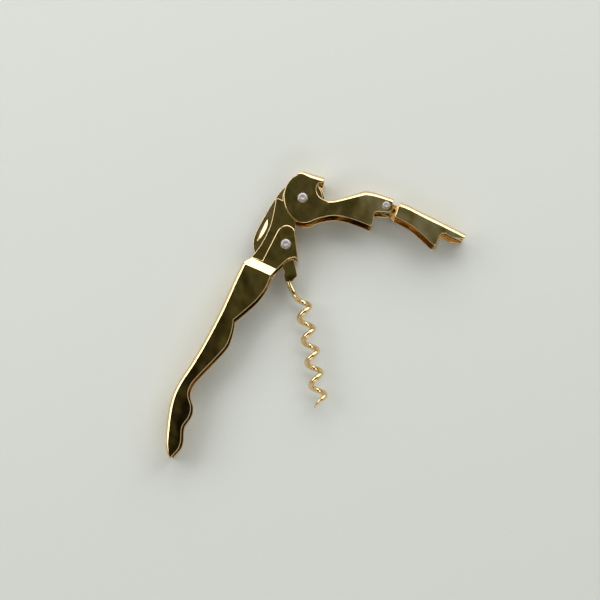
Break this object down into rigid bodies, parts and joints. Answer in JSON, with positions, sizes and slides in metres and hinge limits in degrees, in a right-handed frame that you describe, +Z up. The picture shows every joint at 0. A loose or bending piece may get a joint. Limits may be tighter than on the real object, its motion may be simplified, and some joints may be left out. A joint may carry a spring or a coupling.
{
  "type": "lever corkscrew",
  "caption": "Folded gilt sheet-steel lever corkscrew with a hinged lever in two steps, a folding worm, a foil knife and a crown-cap lip.",
  "frame": {"origin": "middle of the footprint, on the surface that the corkscrew lies on", "axes": "+X from the tail of the handle to its head, +Y to the handle's back, +Z up across the folded sheet"},
  "size_m": [0.137, 0.0786, 0.0132],
  "materials": {
    "gilt_steel": "polished gold-coloured plating on folded steel sheet",
    "gilt_blade": "gold-coloured plating on a ground blade",
    "rivet_steel": "bright nickel-plated rivet heads",
    "plain_steel": "plain steel spring, spacers and washers"
  },
  "bodies": {
    "handle": {"handle_shell": "gilt_steel", "front_plate": "gilt_steel", "rear_plate": "gilt_steel", "back_spring": "plain_steel", "front_knife_spacer": "plain_steel", "rear_knife_spacer": "plain_steel", "front_lever_washer": "plain_steel", "rear_lever_washer": "plain_steel", "lever_rivet": "rivet_steel", "worm_rivet": "rivet_steel"},
    "upper_lever_arm": {"upper_lever": "gilt_steel", "link_rivet": "rivet_steel", "front_link_washer": "plain_steel", "rear_link_washer": "plain_steel"},
    "lower_lever_arm": {"lower_lever": "gilt_steel"},
    "worm_arm": {"worm_holder": "gilt_steel", "worm": "gilt_steel"},
    "knife_blade": {"foil_knife": "gilt_blade"}
  },
  "joints": [
    {"name": "lever_fold", "type": "hinge", "parent": "handle", "child": "upper_lever_arm", "pos_m": [0.05156, 0.02808, 0.0066], "axis": [0, 0, 1], "range_deg": [-92, 3]},
    {"name": "lower_lever_fold", "type": "hinge", "parent": "upper_lever_arm", "child": "lower_lever_arm", "pos_m": [0.06426, -0.00432, 0.0066], "axis": [0, 0, 1], "range_deg": [-12, 12]},
    {"name": "worm_fold", "type": "hinge", "parent": "handle", "child": "worm_arm", "pos_m": [0.03126, 0.02558, 0.0066], "axis": [0, 0, 1], "range_deg": [-46, 1.5]},
    {"name": "knife_fold", "type": "hinge", "parent": "handle", "child": "knife_blade", "pos_m": [0.05156, 0.02808, 0.0066], "axis": [0, 0, 1], "range_deg": [-45, 0]}
  ],
  "couplings": [
    {"joint": "worm_fold", "follows": "lever_fold", "ratio": 0.5}
  ]
}
